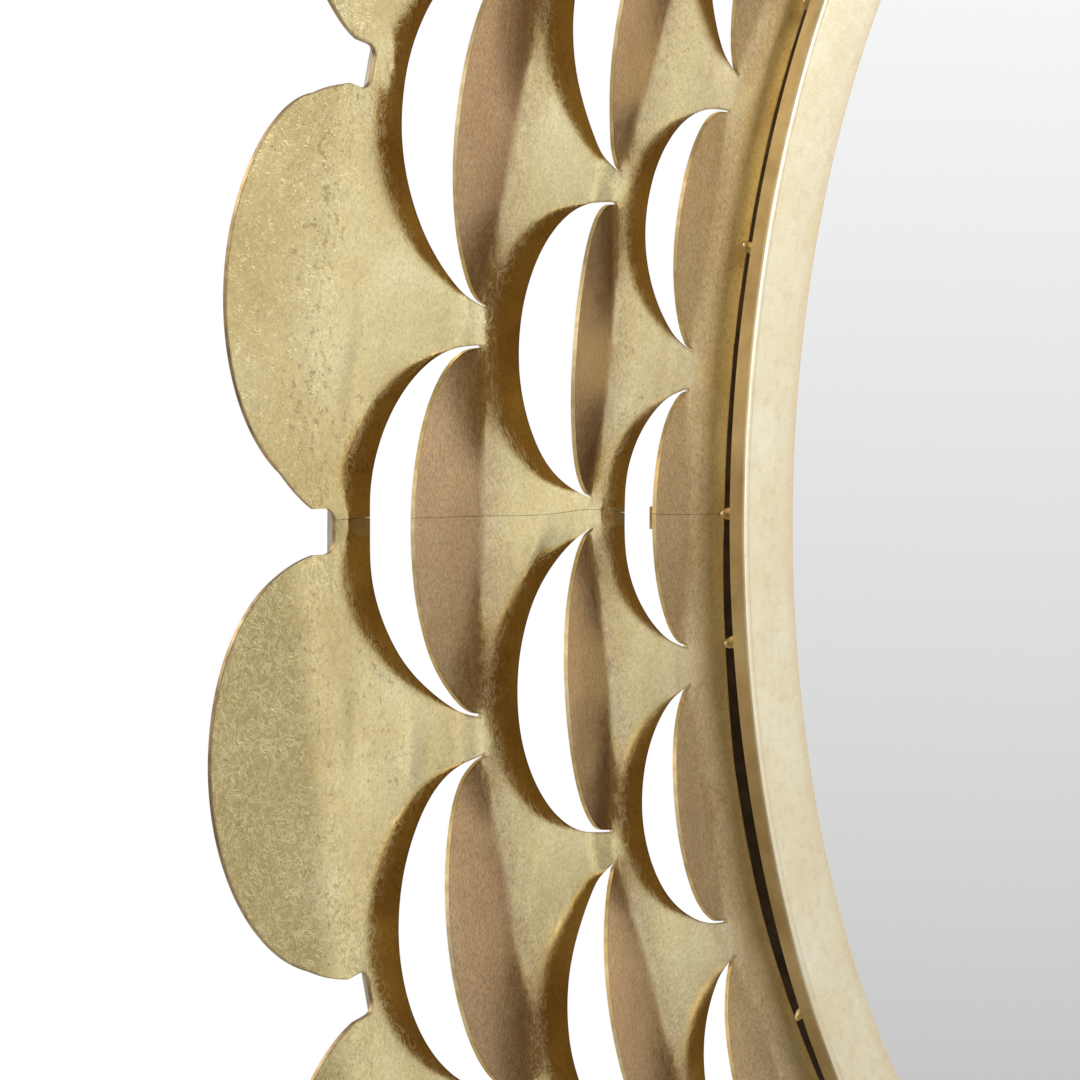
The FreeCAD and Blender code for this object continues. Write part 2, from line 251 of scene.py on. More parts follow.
class FoldLine:
    """Chord on which a row's scales fold: its place on the radial axis and half its length."""

    def __init__(self, radius, gap_w):
        turn = pitch / 2 - math.asin(gap_w / 2 / radius)
        self.x = radius * math.cos(turn)
        self.half_w = radius * math.sin(turn)


class Bow:
    """Circular arc over a fold line, given by half the line's length and its own reach."""

    def __init__(self, fold_x, half_w, reach):
        offset = (reach * reach - half_w * half_w) / (2 * reach)
        self.centre_x = fold_x + offset
        self.radius = reach - offset
        self.sweep = math.atan2(half_w, -offset)

    def points(self):
        turns = np.linspace(-self.sweep, self.sweep, int(2 * self.sweep * self.radius / arc_step))
        return np.stack([self.centre_x + self.radius * np.cos(turns), self.radius * np.sin(turns)], 1)

    def holds(self, u, v):
        return np.hypot(u - self.centre_x, v) < self.radius


class Oval:
    """Half an ellipse over a fold line."""

    def __init__(self, fold_x, half_w, reach):
        self.fold_x = fold_x
        self.half_w = half_w
        self.reach = reach

    def points(self):
        turns = np.linspace(-math.pi / 2, math.pi / 2, int(math.pi * self.half_w / arc_step))
        return np.stack([self.fold_x + self.reach * np.cos(turns), self.half_w * np.sin(turns)], 1)

    def holds(self, u, v):
        return np.hypot((u - self.fold_x) / self.reach, v / self.half_w) < 1


class Row:
    """One inner row: fold line, outlines of hole and flat scale, how its scales fold and where they lie.

    The bend is the roundness of the fold, and the turns are those of the scales in the first panel.
    """

    def __init__(self, name, neck_r, neck_w, slit_r, fold_deg, bend, bulge, sag, first_turn):
        line = FoldLine(neck_r, neck_w)
        self.name = name
        self.fold_x = line.x
        self.half_w = line.half_w
        self.hole = Bow(line.x, line.half_w, slit_r - line.x)
        self.scale = Bow(line.x, line.half_w - slit_end_w, slit_r - slit_w - line.x)
        self.fold = math.radians(fold_deg)
        self.bend = bend
        self.bulge = bulge
        self.sag = sag
        count = round((panel_angle - 2 * first_turn) / pitch) + 1
        self.turns = [first_turn + pitch * i for i in range(count)]


inner_rows = (
    Row("inner", inner_neck_r, inner_neck_w, inner_slit_r, inner_fold_deg,
        inner_fold_round, inner_fold_bulge, inner_sag, 0.0),
    Row("third", third_neck_r, third_neck_w, third_slit_r, third_fold_deg,
        third_fold_round, third_fold_bulge, third_sag, pitch / 2),
    Row("second", second_neck_r, second_neck_w, second_slit_r, second_fold_deg,
        second_fold_round, second_fold_bulge, second_sag, 0.0),
)
outer_line = FoldLine(outer_fold_r, notch_w)
outer_bow = Oval(outer_line.x, outer_line.half_w, outer_scale_len)
outer_turns = [pitch / 2 + pitch * i for i in range(scales_per_row // panel_count)]

# Outermost scales that a panel reaches: past its leaning seam also the one before its own
reached_turns = [outer_turns[0] - pitch] + outer_turns


def polar(radius, angle):
    """Plan points (x, z) at a radius and an angle."""
    return np.stack([radius * np.cos(angle), radius * np.sin(angle)], 1)


def turned(points, angle):
    """Plan points turned anticlockwise about the origin."""
    cos, sin = math.cos(angle), math.sin(angle)
    return np.stack([points[:, 0] * cos - points[:, 1] * sin, points[:, 0] * sin + points[:, 1] * cos], 1)


def notch_points():
    """Outline of the notch between two outermost scales, with rounded corners at its bottom."""
    quarter = np.linspace(0, math.pi / 2, notch_corner_points)
    upper_x = notch_bottom_r + notch_corner_r - notch_corner_r * np.sin(quarter)
    upper_z = notch_w / 2 - notch_corner_r + notch_corner_r * np.cos(quarter)
    upper = np.vstack([[[outer_fold_r, notch_w / 2]], np.stack([upper_x, upper_z], 1)])
    return np.vstack([upper, upper[::-1] * (1, -1)])


def in_panel(plan):
    """Which plan points lie in the flat pattern of the first panel, between the seams at 0 and 90 degrees."""
    angle = np.arctan2(plan[:, 1], plan[:, 0])
    radius = np.hypot(plan[:, 0], plan[:, 1])
    lean = seam_lean_share * (radius - sheet_inner_r)
    past_seam = radius * angle + lean
    before_seam = radius * (panel_angle - angle) - lean
    keep = (radius > sheet_inner_r) & (past_seam > seam_gap / 2) & (before_seam > seam_gap / 2)
    for row in inner_rows:
        for turn in row.turns:
            u, v = turned(plan, -turn).T
            in_slit = (u > row.fold_x) & row.hole.holds(u, v) & ~row.scale.holds(u, v)
            keep &= ~in_slit
    for i in range(len(outer_turns) + 1):
        u, v = turned(plan, -pitch * i).T
        from_side = np.maximum(np.abs(v) - notch_w / 2 + notch_corner_r, 0)
        from_bottom = np.maximum(notch_bottom_r + notch_corner_r - u, 0)
        keep &= np.hypot(from_side, from_bottom) > notch_corner_r
    in_outline = np.zeros(len(plan), bool)
    for turn in reached_turns:
        u, v = turned(plan, -turn).T
        in_outline |= (u > 0) & (u < outer_line.x) & (np.abs(v) < outer_line.half_w + notch_w / 2)
        in_outline |= (u >= outer_line.x) & outer_bow.holds(u, v)
    return keep & in_outline


def pattern_lines():
    """Outlines and fold lines in one panel's flat pattern, each as a row of plan points."""
    lines = []
    for row in inner_rows:
        for turn in row.turns:
            for bow in (row.hole, row.scale):
                lines.append(turned(bow.points(), turn))
            across = np.linspace(-row.half_w, row.half_w, int(2 * row.half_w / grid_step))
            lines.append(turned(np.stack([np.full_like(across, row.fold_x), across], 1), turn))
    for turn in outer_turns:
        lines.append(turned(outer_bow.points(), turn))
    for i in range(len(outer_turns) + 1):
        lines.append(turned(notch_points(), pitch * i))
    around = np.linspace(0, panel_angle, int(panel_angle * sheet_inner_r / arc_step))
    lines.append(polar(sheet_inner_r, around))
    along = np.arange(sheet_inner_r - arc_step, outer_fold_r, arc_step)
    lean = seam_lean_share * (along - sheet_inner_r)
    lines.append(polar(along, (seam_gap / 2 - lean) / along))
    lines.append(polar(along, panel_angle - (seam_gap / 2 + lean) / along))
    return lines


def loose_points(fixed):
    """Points of a jittered triangular grid in one panel that keep clear of the fixed points."""
    tree = kdtree.KDTree(len(fixed))
    for i, (x, z) in enumerate(fixed):
        tree.insert((x, z, 0), i)
    tree.balance()
    rng = random.Random(grid_seed)
    row_step = grid_step * math.sqrt(3) / 2
    tip_r = outer_line.x + outer_scale_len
    loose = []
    for j in range(-grid_rows_below, int(tip_r / row_step) + 1):
        for i in range(int(tip_r / grid_step) + 1):
            x = (i + j % 2 / 2) * grid_step + rng.uniform(-1, 1) * grid_jitter_share * grid_step
            z = j * row_step + rng.uniform(-1, 1) * grid_jitter_share * grid_step
            if sheet_inner_r < math.hypot(x, z) < tip_r:
                if tree.find((x, z, 0))[2] > grid_clear_share * grid_step:
                    loose.append((x, z))
    loose = np.array(loose)
    return loose[in_panel(loose)]


def flat_pattern():
    """Triangulated flat pattern of one panel: plan points, and triangles that run anticlockwise."""
    lines = pattern_lines()
    links = []
    start = 0
    for line in lines:
        links += [(start + i, start + i + 1) for i in range(len(line) - 1)]
        start += len(line)
    fixed = np.vstack(lines)
    points = [Vector(p) for p in np.vstack([fixed, loose_points(fixed)])]
    verts, _, faces, _, _, _ = delaunay_2d_cdt(points, links, [], 0, merge_reach)
    plan = np.array([tuple(v) for v in verts])
    tris = np.array(faces)
    tris = tris[in_panel(plan[tris].mean(1))]
    used, tris = np.unique(tris, return_inverse=True)
    plan = plan[used]
    tris = tris.reshape(-1, 3)
    area = np.cross(plan[tris[:, 1]] - plan[tris[:, 0]], plan[tris[:, 2]] - plan[tris[:, 0]])
    tris[area < 0] = tris[area < 0][:, ::-1]
    return plan, tris


def edges_of(tris):
    """Outline edges, in the direction of their triangles."""
    pairs = np.vstack([tris[:, [0, 1]], tris[:, [1, 2]], tris[:, [2, 0]]])
    keys = np.sort(pairs, 1)
    _, first, counts = np.unique(keys, axis=0, return_index=True, return_counts=True)
    return pairs[first[counts == 1]]


def rolled(distance, fold, bend):
    """Plan reach, lift and slope at a distance beyond a fold line, over a soft bend."""
    slope = np.minimum(distance / bend, abs(fold))
    rest = np.maximum(distance - bend * abs(fold), 0)
    plan = bend * np.sin(slope) + rest * math.cos(fold)
    lift = bend * (1 - np.cos(slope)) + rest * math.sin(abs(fold))
    side = math.copysign(1, fold)
    return plan, side * lift, side * slope


def degrees_around(angle):
    """Degrees around the mirror, as in the tables of single scales, necks and notches."""
    return round(math.degrees(angle) % 360, 1)


def fold_at(row_name, fold, at_deg, spread_deg):
    """Fold of one scale, with its own small change."""
    rng = random.Random(row_name + str(at_deg))
    change = fold_changes.get((row_name, at_deg), rng.uniform(-spread_deg, spread_deg))
    return fold + math.radians(change)


def shifted(place):
    """Plan points with each neck and notch moved a little around the mirror, and the inner edge outwards."""
    radius = np.hypot(place[:, 0], place[:, 1])
    angle = np.arctan2(place[:, 1], place[:, 0])
    moved = np.zeros(len(place))
    starts = ((inner_neck_r, pitch / 2), (third_neck_r, 0), (second_neck_r, pitch / 2), (outer_fold_r, 0))
    for at_r, start in starts:
        across = np.exp(-((radius - at_r) / shift_reach_across) ** 2)
        for i in range(scales_per_row):
            at_deg = degrees_around(start + pitch * i)
            rng = random.Random(str(at_r) + str(at_deg))
            shift = shifts.get((at_r, at_deg), rng.uniform(-shift_spread, shift_spread))
            beside = ((angle - start - pitch * i + math.pi) % (2 * math.pi) - math.pi) * radius
            moved += shift * across * np.exp(-(beside / shift_reach_around) ** 2)
    angle += moved / radius
    drawn = np.interp(np.degrees(angle) % 360, edge_degs, edge_shifts)
    return polar(radius + drawn * np.exp(-((radius - sheet_inner_r) / edge_reach) ** 2), angle)


def crumpled(place):
    """Rise of the sheet where it is crumpled."""
    rise = np.zeros(len(place))
    for x, z, turn_deg, half_len, half_w, height in crumples:
        local = turned(place - (x, z), -math.radians(turn_deg))
        rise += height * np.exp(-(local[:, 0] / half_len) ** 2 - (local[:, 1] / half_w) ** 2)
    return rise


class Sheet:
    """One panel while it is worked, starting at an angle around the mirror.

    Each point of the flat pattern has its place in plan, its lift to the front, and the tilt of the sheet
    with the direction outwards of its scale. Its tilt shade is its share of painted brown shade, which
    follows the tilt of the folds; its crease marks the worn band, and it is free to sag where no strap holds
    it.
    """

    def __init__(self, plan, start):
        self.plan = plan
        self.start = start
        self.place = plan.copy()
        self.lift = np.zeros(len(plan))
        self.tilt = np.zeros(len(plan))
        self.outward = np.tile([1.0, 0.0], (len(plan), 1))
        self.tone = np.zeros(len(plan))
        self.crease = np.zeros(len(plan))
        from_seam = np.minimum(np.abs(plan[:, 0]), np.abs(plan[:, 1]))
        self.free = 1 - np.exp(-(from_seam / strap_hold) ** 2)

    def bend(self, inside, turn, bent, rise, slope):
        """Lays the points of one scale where its bend takes them."""
        self.place[inside] = turned(bent, turn)
        self.lift[inside] = rise
        self.tilt[inside] = slope
        self.outward[inside] = (math.cos(turn), math.sin(turn))

    def fold_inner_scale(self, row, turn):
        """Folds one scale to the front, paints brown shade on it by its tilt and on the sheet before its
        fold, and lets it sag beyond the slit.
        """
        at_deg = degrees_around(turn + self.start)
        u, v = turned(self.plan, -turn).T
        fold_from = row.fold_x - row.bulge * np.maximum(1 - (v / row.half_w) ** 2, 0)
        in_scale = (u > row.fold_x) & (np.hypot(u - row.scale.centre_x, v) < row.scale.radius + edge_play)
        in_bulge = (u > fold_from) & (u <= row.fold_x) & (np.abs(v) < row.half_w)
        inside = in_scale | in_bulge
        fold = fold_at(row.name, row.fold, at_deg, fold_spread_deg)
        beyond = (u[inside] - fold_from[inside]) * reach_shares.get((row.name, at_deg), 1.0)
        reach, rise, slope = rolled(beyond, fold, row.bend)
        self.bend(inside, turn, np.stack([fold_from[inside] + reach, v[inside]], 1), rise, slope)
        # Painted shade: a brown share set by the tilt of the fold, fading out over the level sheet before it
        self.tone[inside] = slope / row.fold
        before = (u <= fold_from) & (u > fold_from - tilt_shade_reach) & (np.abs(v) < row.half_w)
        faded = tilt_shade_share * (1 - (fold_from - u)[before] / tilt_shade_reach)
        self.tone[before] = np.maximum(self.tone[before], faded)
        from_slit = np.hypot(u - row.hole.centre_x, v) - row.hole.radius
        near = ~inside & (u > row.fold_x) & (from_slit > -edge_play) & (from_slit < sag_reach)
        past_fold = np.clip((u[near] - row.fold_x) / sag_start, 0, 1)
        loose = self.free[near] * past_fold ** 2 * (3 - 2 * past_fold)
        self.lift[near] -= row.sag * loose * (1 - np.maximum(from_slit[near], 0) / sag_reach) ** 2

    def curve_outer_scale(self, turn):
        """Curves one outermost scale to the back, in its own size, and marks its crease."""
        at_deg = degrees_around(turn + self.start)
        u, v = turned(self.plan, -turn).T
        inside = (u > outer_line.x) & (np.abs(v) < outer_line.half_w)
        beyond = u[inside] - outer_line.x
        self.crease[inside] = np.exp(-((beyond - crease_at) / crease_half_w) ** 2)
        fold = fold_at("outer", math.radians(outer_fold_deg), at_deg, outer_spread_deg)
        reach_share, clockwise_share, anticlockwise_share = outer_shares.get(at_deg, usual_outer_shares)
        width_share = np.where(v[inside] < 0, clockwise_share, anticlockwise_share)
        narrowing = (width_share - 1) * np.minimum(beyond / outer_narrow_reach, 1)
        reach, rise, slope = rolled(beyond * reach_share, fold, outer_round)
        bent = np.stack([outer_line.x + reach, v[inside] * (1 + narrowing)], 1)
        self.bend(inside, turn, bent, rise, slope)

    def hang(self):
        """Turns the folded sheet to its place around the mirror and makes it uneven."""
        self.place = shifted(turned(self.place, self.start))
        self.outward = turned(self.outward, self.start)
        self.lift += crumpled(self.place)
        for i, (x, z) in enumerate(self.place):
            at = Vector((x, z, 0))
            self.lift[i] += wave_height * noise.noise(at / wave_len)
            self.lift[i] += dent_height * noise.noise(at / dent_len)

    def sides(self):
        """Points of the front, followed by those of the back."""
        front = np.stack([self.place[:, 0], sheet_front_y - self.lift, self.place[:, 1]], 1)
        sin, cos = np.sin(self.tilt), np.cos(self.tilt)
        normal = np.stack([-self.outward[:, 0] * sin, -cos, -self.outward[:, 1] * sin], 1)
        return np.vstack([front, front - normal * sheet_t])

    def inner_marks(self):
        """Marks that grow from 0 at the innermost slits to 1 at the innermost necks."""
        radius = np.hypot(self.place[:, 0], self.place[:, 1])
        return np.clip((inner_slit_r - radius) / (inner_slit_r - inner_neck_r), 0, 1)


def cut_marks(plan, outline):
    """Marks of 1 at the cut edges of a panel, except beside its seams."""
    cut = np.zeros(len(plan))
    cut[outline.ravel()] = 1.0
    angle = np.arctan2(plan[:, 1], plan[:, 0])
    for seam_angle in (0, panel_angle):
        cut[np.abs(angle - seam_angle) < seam_clear_angle] = 0.0
    return cut


def panel_mesh(name, plan, tris, outline, start):
    """One panel as a folded sheet of real thickness, starting at an angle around the mirror."""
    sheet = Sheet(plan, start)
    for row in inner_rows:
        for turn in row.turns:
            sheet.fold_inner_scale(row, turn)
    for turn in reached_turns:
        sheet.curve_outer_scale(turn)
    sheet.hang()
    count = len(plan)
    walls = np.stack([outline[:, 1], outline[:, 0], outline[:, 0] + count, outline[:, 1] + count], 1)
    faces = [tuple(t) for t in tris]
    faces += [tuple(t[::-1] + count) for t in tris]
    faces += [tuple(w) for w in walls]
    mesh = bpy.data.meshes.new(name)
    mesh.from_pydata(sheet.sides().tolist(), [], faces)
    face_counts = [len(tris), len(tris), len(walls)]
    slots = np.repeat([front_slot, back_slot, edge_slot], face_counts).astype(np.int32)
    outermost = np.hypot(plan[outline[:, 0], 0], plan[outline[:, 0], 1]) > second_slit_r + slit_w
    slots[2 * len(tris):][outermost] = outer_edge_slot
    mesh.polygons.foreach_set("material_index", slots)
    marks = {
        "tone": sheet.tone,
        "cut": cut_marks(plan, outline),
        "inner": sheet.inner_marks(),
        "crease": sheet.crease,
    }
    for key, values in marks.items():
        mesh.attributes.new(key, "FLOAT", "POINT").data.foreach_set("value", np.tile(values, 2))
    return mesh


def coated(mesh, *materials):
    """Mesh with materials in its slots, in their order."""
    for material in materials:
        mesh.materials.append(material)
    return mesh


def shown(name, mesh, slot, body, *replaced):
    """Object from a mesh, smooth up to sharp corners, on its body, in place of CAD nodes."""
    mesh.validate()
    mesh.shade_smooth()
    mesh.set_sharp_from_angle(angle=math.radians(sharp_deg))
    obj = bpy.data.objects.new(name, mesh)
    scene.collection.objects.link(obj)
    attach(obj, body)
    if replaced:
        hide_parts(*replaced)
    return obj


def rounded(corner, radius, from_angle, to_angle):
    """Points of a rounded corner in a profile, as (radius, depth) pairs."""
    return [
        (corner[0] + radius * math.cos(a), corner[1] + radius * math.sin(a))
        for a in np.linspace(from_angle, to_angle, corner_points)
    ]


def lathe(name, profile, closed=True):
    """Ring turned from (radius, depth) points about the Y axis."""
    turns = np.linspace(0, 2 * math.pi, ring_segments, endpoint=False)
    verts = [(r * math.cos(t), y, r * math.sin(t)) for t in turns for r, y in profile]
    width = len(profile)
    spans = width if closed else width - 1
    faces = []
    for i in range(ring_segments):
        here = i * width
        there = (i + 1) % ring_segments * width
        for j in range(spans):
            k = (j + 1) % width
            faces.append((here + j, here + k, there + k, there + j))
    mesh = bpy.data.meshes.new(name)
    mesh.from_pydata(verts, [], faces)
    return mesh


class Nodes:
    """Node tree under construction."""

    def __init__(self, tree):
        self.tree = tree

    def set(self, socket, value):
        """Links a socket to another node's output, or sets its value."""
        if hasattr(value, "is_output"):
            self.tree.links.new(value, socket)
        else:
            socket.default_value = value

    def add(self, kind, **inputs):
        node = self.tree.nodes.new("ShaderNode" + kind)
        for key, value in inputs.items():
            self.set(node.inputs[key.replace("_", " ")], value)
        return node

    def math(self, operation, a, b=0.0):
        node = self.add("Math")
        node.operation = operation
        self.set(node.inputs[0], a)
        self.set(node.inputs[1], b)
        return node.outputs[0]

    def remap(self, value, low, high, to_low, to_high):
        """Value carried from one range to another and held at its ends."""
        node = self.add("MapRange", Value=value, From_Min=low, From_Max=high, To_Min=to_low, To_Max=to_high)
        return node.outputs["Result"]

    def blend(self, factor, a, b):
        """Mix of two numbers."""
        return self.add("Mix", Factor=factor, A=a, B=b).outputs["Result"]

    def mix(self, factor, a, b):
        """Mix of two colours."""
        node = self.add("Mix", Factor=factor)
        node.data_type = "RGBA"
        for at, color in ((mix_color_a, a), (mix_color_b, b)):
            self.set(node.inputs[at], color if hasattr(color, "is_output") else (*color, 1.0))
        return node.outputs[mix_color_out]


class Finish(Nodes):
    """Material under construction."""

    def __init__(self, name):
        self.material = bpy.data.materials.new(name)
        self.material.use_nodes = True
        super().__init__(self.material.node_tree)
        self.shader = self.tree.nodes["Principled BSDF"]

    def place(self):
        return self.add("TexCoord").outputs["Object"]

    def noise(self, scale, detail=2.0, roughness=0.5, distortion=0.0, vector=None):
        node = self.add("TexNoise", Scale=scale, Detail=detail, Roughness=roughness, Distortion=distortion)
        self.set(node.inputs["Vector"], vector or self.place())
        return node.outputs["Fac"]

    def radius(self):
        """Distance from the mirror's axis."""
        parts = self.add("SeparateXYZ", Vector=self.place())
        flat = self.add("CombineXYZ", X=parts.outputs["X"], Y=parts.outputs["Z"])
        length = self.add("VectorMath", Vector=flat.outputs["Vector"])
        length.operation = "LENGTH"
        return length.outputs["Value"]

    def around(self, across, along):
        """Place as radius and angle about the mirror's axis, for marks that run around it."""
        parts = self.add("SeparateXYZ", Vector=self.place())
        angle = self.math("ARCTAN2", parts.outputs["Z"], parts.outputs["X"])
        radius_part = self.math("MULTIPLY", self.radius(), across)
        angle_part = self.math("MULTIPLY", angle, along)
        return self.add("CombineXYZ", X=radius_part, Y=angle_part).outputs["Vector"]

    def ramp(self, factor, stops):
        """Colour that runs through stops of position and colour."""
        node = self.add("ValToRGB", Fac=factor)
        elements = node.color_ramp.elements
        while len(elements) < len(stops):
            elements.new(0.5)
        for element, (position, color) in zip(elements, stops):
            element.position = position
            element.color = (*color, 1.0)
        return node.outputs["Color"]

    def attribute(self, name):
        node = self.add("Attribute")
        node.attribute_name = name
        return node.outputs["Fac"]

    def bump(self, height, strength, distance):
        node = self.add("Bump", Height=height, Strength=strength, Distance=distance)
        self.set(self.shader.inputs["Normal"], node.outputs["Normal"])

    def done(self, color, metallic, rough):
        for key, value in (("Base Color", color), ("Metallic", metallic), ("Roughness", rough)):
            self.set(self.shader.inputs[key], value)
        return self.material


def gold_leaf():
    """Patchy gold leaf, warmer on the outermost scales, with painted brown shade on folds and innermost row,
    which are rougher, and painted wrinkle highlights.
    """
    n = Finish("gold_leaf")
    inner = n.attribute("inner")
    fold_shade = n.attribute("tone")
    patches = n.noise(38.0, 5.0, 0.6)
    color = n.ramp(patches, [(0.3, (0.67, 0.53, 0.25)), (0.5, (0.80, 0.67, 0.34)), (0.7, (0.90, 0.79, 0.46))])
    beyond = n.remap(n.radius(), outer_fold_r, outer_fold_r + outer_warm_reach, 0.0, 0.30)
    color = n.mix(beyond, color, (0.66, 0.48, 0.17))
    streaks = n.noise(4.0, 2.0, 0.5, 0.8, n.around(55.0, 3.5))
    browns = [(0.36, (0.62, 0.45, 0.28)), (0.50, (0.70, 0.58, 0.43)), (0.64, (0.69, 0.62, 0.45))]
    # Painted shade: streaky brown on the folds and the innermost row, then a deeper brown on the folds by
    # their tilt
    streaky_shade_share = n.math("MAXIMUM", n.math("MULTIPLY", fold_shade, 0.22), n.math("MULTIPLY", inner, 0.48))
    color = n.mix(streaky_shade_share, color, n.ramp(streaks, browns))
    color = n.mix(n.math("MULTIPLY", fold_shade, 0.42), color, (0.49, 0.29, 0.155))
    grain = n.remap(n.noise(1100.0, 4.0, 0.75, 0.6), 0.42, 0.66, 0.0, 0.45)
    color = n.mix(grain, color, (0.40, 0.29, 0.12))
    # Painted shade: the dark grain deeper on the folds
    color = n.mix(n.math("MULTIPLY", grain, fold_shade), color, (0.20, 0.12, 0.06))
    ridges = n.math("ABSOLUTE", n.math("SUBTRACT", n.noise(210.0, 4.0, 0.65, 2.0), 0.5))
    wrinkles = n.remap(ridges, 0.0, 0.03, 1.0, 0.0)
    # Painted highlights: pale gold along the wrinkle ridges
    color = n.mix(n.math("MULTIPLY", wrinkles, 0.30), color, (0.94, 0.86, 0.60))
    specks = n.noise(520.0, 3.0, 0.7)
    clusters = n.remap(n.noise(24.0, 2.0), 0.45, 0.65, 0.0, 0.07)
    clusters = n.math("ADD", clusters, n.math("MULTIPLY", n.attribute("crease"), 0.07))
    worn = n.remap(n.math("ADD", specks, clusters), 0.66, 0.74, 0.0, 0.6)
    color = n.mix(worn, color, (0.36, 0.25, 0.12))
    at_edge = n.remap(n.attribute("cut"), 0.80, 0.97, 0.0, 0.7)
    color = n.mix(at_edge, color, (0.26, 0.16, 0.07))
    fibres = n.noise(1500.0, 3.0, 0.6, 1.0)
    crinkle = n.remap(n.radius(), notch_bottom_r, outer_fold_r, 0.4, 1.1)
    n.bump(n.math("ADD", fibres, n.math("MULTIPLY", wrinkles, crinkle)), 1.0, leaf_relief)
    rough = n.remap(n.noise(90.0, 3.0), 0.3, 0.7, 0.09, 0.15)
    rough = n.math("ADD", rough, n.math("MULTIPLY", inner, 0.28))
    rough = n.math("ADD", rough, n.math("MULTIPLY", fold_shade, 0.10))
    return n.done(color, 1.0, rough)


def bronze_back():
    """Bronze-brown back of the sheet, kept dark as painted shade for the undersides of the lifted scales."""
    n = Finish("bronze_back")
    color = n.ramp(n.noise(60.0, 4.0), [(0.35, (0.33, 0.17, 0.040)), (0.65, (0.44, 0.25, 0.062))])
    rough = n.remap(n.noise(120.0, 3.0), 0.3, 0.7, 0.32, 0.46)
    return n.done(color, 0.8, rough)


def cut_edge(name, dark, light):
    """Bare metal of the sheet's cut edges."""
    n = Finish(name)
    color = n.ramp(n.noise(300.0, 3.0), [(0.35, dark), (0.65, light)])
    rough = n.remap(n.noise(200.0, 2.0), 0.3, 0.7, 0.35, 0.5)
    return n.done(color, 1.0, rough)


def rim_gold():
    """Pale gold of the rim, mottled and streaked, and deeper beside the glass."""
    n = Finish("rim_gold")
    color = n.ramp(n.noise(45.0, 6.0, 0.65), [(0.3, (0.95, 0.81, 0.53)), (0.65, (1.0, 0.93, 0.70))])
    mottles = n.remap(n.noise(300.0, 5.0, 0.7), 0.52, 0.66, 0.0, 0.27)
    color = n.mix(mottles, color, (0.72, 0.54, 0.30))
    streaks = n.remap(n.noise(4.0, 4.0, 0.6, 0.5, n.around(120.0, 9.0)), 0.46, 0.66, 0.0, 0.16)
    color = n.mix(streaks, color, (0.80, 0.63, 0.36))
    at_glass = n.remap(n.radius(), rim_opening_r, rim_opening_r + rim_gilt_w, 0.5, 0.0)
    color = n.mix(at_glass, color, (0.84, 0.66, 0.36))
    n.bump(n.noise(420.0, 4.0, 0.6, 1.5), 0.2, rim_relief)
    rough = n.remap(n.noise(70.0, 3.0), 0.3, 0.7, 0.28, 0.40)
    return n.done(color, 1.0, rough)


def rim_side_gold():
    """Darker gold of the rim's outer side: painted shade."""
    n = Finish("rim_side_gold")
    golds = [(0.3, (0.40, 0.30, 0.16)), (0.5, (0.60, 0.49, 0.31)), (0.7, (0.74, 0.64, 0.44))]
    color = n.ramp(n.noise(30.0, 5.0, 0.65), golds)
    rough = n.remap(n.noise(90.0, 3.0), 0.3, 0.7, 0.3, 0.45)
    return n.done(color, 1.0, rough)


def hoop_iron():
    """Dull metal of the hoop rod and its welds."""
    n = Finish("hoop_iron")
    color = n.ramp(n.noise(150.0, 3.0), [(0.35, (0.52, 0.46, 0.34)), (0.65, (0.64, 0.58, 0.45))])
    rough = n.remap(n.noise(260.0, 2.0), 0.3, 0.7, 0.4, 0.55)
    return n.done(color, 0.5, rough)


def mirror_silver():
    """Clear mirror."""
    n = Finish("mirror_silver")
    color = n.ramp(n.noise(3.0, 1.0), [(0.35, (0.985, 0.99, 0.99)), (0.65, (1.0, 1.0, 1.0))])
    return n.done(color, 1.0, 0.0)


def speckled(name, dark, light, scale, metallic, rough_low, rough_high):
    """Plain finish of two mixed tones."""
    n = Finish(name)
    color = n.ramp(n.noise(scale, 4.0, 0.6), [(0.35, dark), (0.65, light)])
    rough = n.remap(n.noise(scale / 2, 2.0), 0.3, 0.7, rough_low, rough_high)
    return n.done(color, metallic, rough)


leaf = gold_leaf()
shaded_bronze = bronze_back()
edge = cut_edge("cut_edge", (0.70, 0.52, 0.26), (0.90, 0.76, 0.46))
brown_edge = cut_edge("brown_edge", (0.34, 0.22, 0.11), (0.56, 0.40, 0.21))
rim_leaf = rim_gold()
shaded_rim_side = rim_side_gold()
iron = hoop_iron()
silver = mirror_silver()
tape_foam = speckled("tape_foam", (0.03, 0.03, 0.03), (0.07, 0.07, 0.07), 900.0, 0.0, 0.7, 0.9)
fibreboard = speckled("fibreboard", (0.30, 0.20, 0.12), (0.46, 0.33, 0.21), 260.0, 0.0, 0.65, 0.85)
zinc = speckled("zinc", (0.58, 0.59, 0.60), (0.76, 0.77, 0.78), 180.0, 1.0, 0.25, 0.42)
# Near-black of the rim's leg: painted shade for the dark slot between sheet and rim
leg_black = speckled("leg_black", (0.030, 0.016, 0.007), (0.060, 0.034, 0.015), 200.0, 1.0, 0.5, 0.7)
rubber = speckled("rubber", (0.03, 0.03, 0.03), (0.06, 0.06, 0.06), 600.0, 0.0, 0.55, 0.75)
floor_paint = speckled("floor_paint", (0.80, 0.80, 0.79), (0.84, 0.84, 0.83), 6.0, 0.0, 0.8, 0.9)

# Finishes of the CAD nodes that are shown as they are, by the start of their names
node_materials = {
    "seam_straps": brown_edge, "hoop_welds": iron, "glazing_tape": tape_foam,
    "backing_board": fibreboard, "board_clip": zinc, "clip_screws": zinc, "hanger_strap": zinc,
    "d_ring": zinc, "hanger_screws": zinc, "wall_bumpers": rubber,
}


